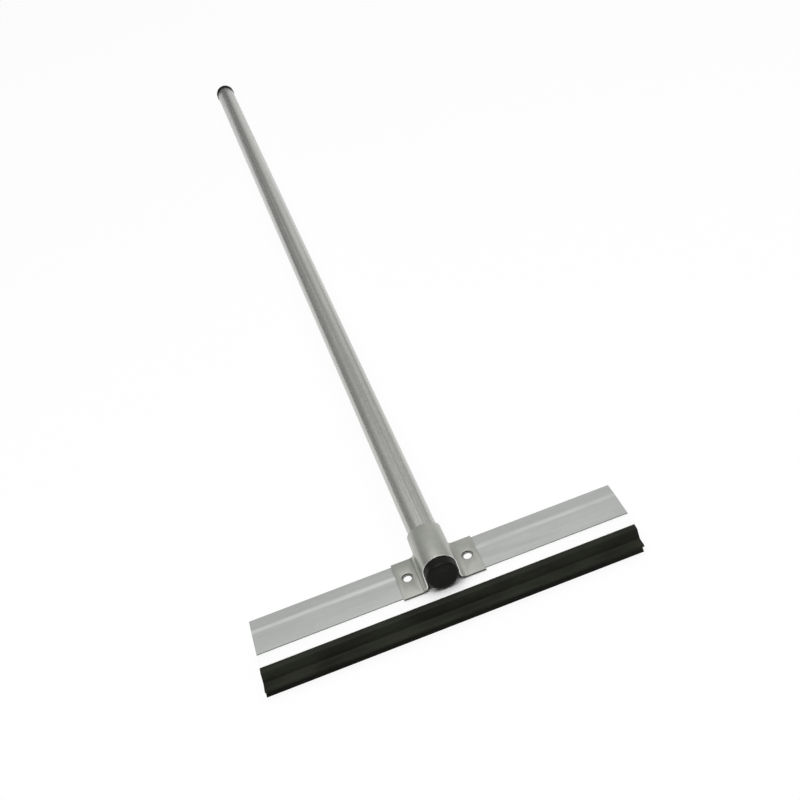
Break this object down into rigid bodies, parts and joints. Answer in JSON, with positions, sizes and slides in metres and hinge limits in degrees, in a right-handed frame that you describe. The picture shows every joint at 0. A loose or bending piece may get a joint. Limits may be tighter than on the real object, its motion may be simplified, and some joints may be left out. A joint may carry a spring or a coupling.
{
  "type": "floor squeegee",
  "caption": "Floor squeegee: dull metal head plate on a white channel, slide-on double-lip rubber blade, pressed saddle and long round tube handle with a black cap and a black end plug.",
  "frame": {"origin": "midway between the two saddle holes, on the upper face of the head plate", "axes": "+X along the head, +Y along the handle away from the head, +Z out of the head plate's upper face"},
  "size_m": [0.4115, 1.5287, 0.0647],
  "materials": {
    "galvanised_sheet": "matte",
    "white_sheet": "satin",
    "pressed_sheet": "satin",
    "drawn_tube": "satin",
    "black_plastic": "satin",
    "black_rubber": "matte",
    "zinc_screw": "satin"
  },
  "bodies": {
    "squeegee_frame": {"head_plate": "galvanised_sheet", "blade_channel": "white_sheet", "saddle": "pressed_sheet", "handle_tube": "drawn_tube", "upper_plug": "black_plastic", "lower_cap": "black_plastic", "handle_screw": "zinc_screw"},
    "blade": {"rubber_blade": "black_rubber"}
  },
  "joints": [
    {"name": "blade_slide", "type": "slide", "parent": "squeegee_frame", "child": "blade", "axis": [1, 0, 0], "range_m": [-0.415, 0.415]}
  ]
}
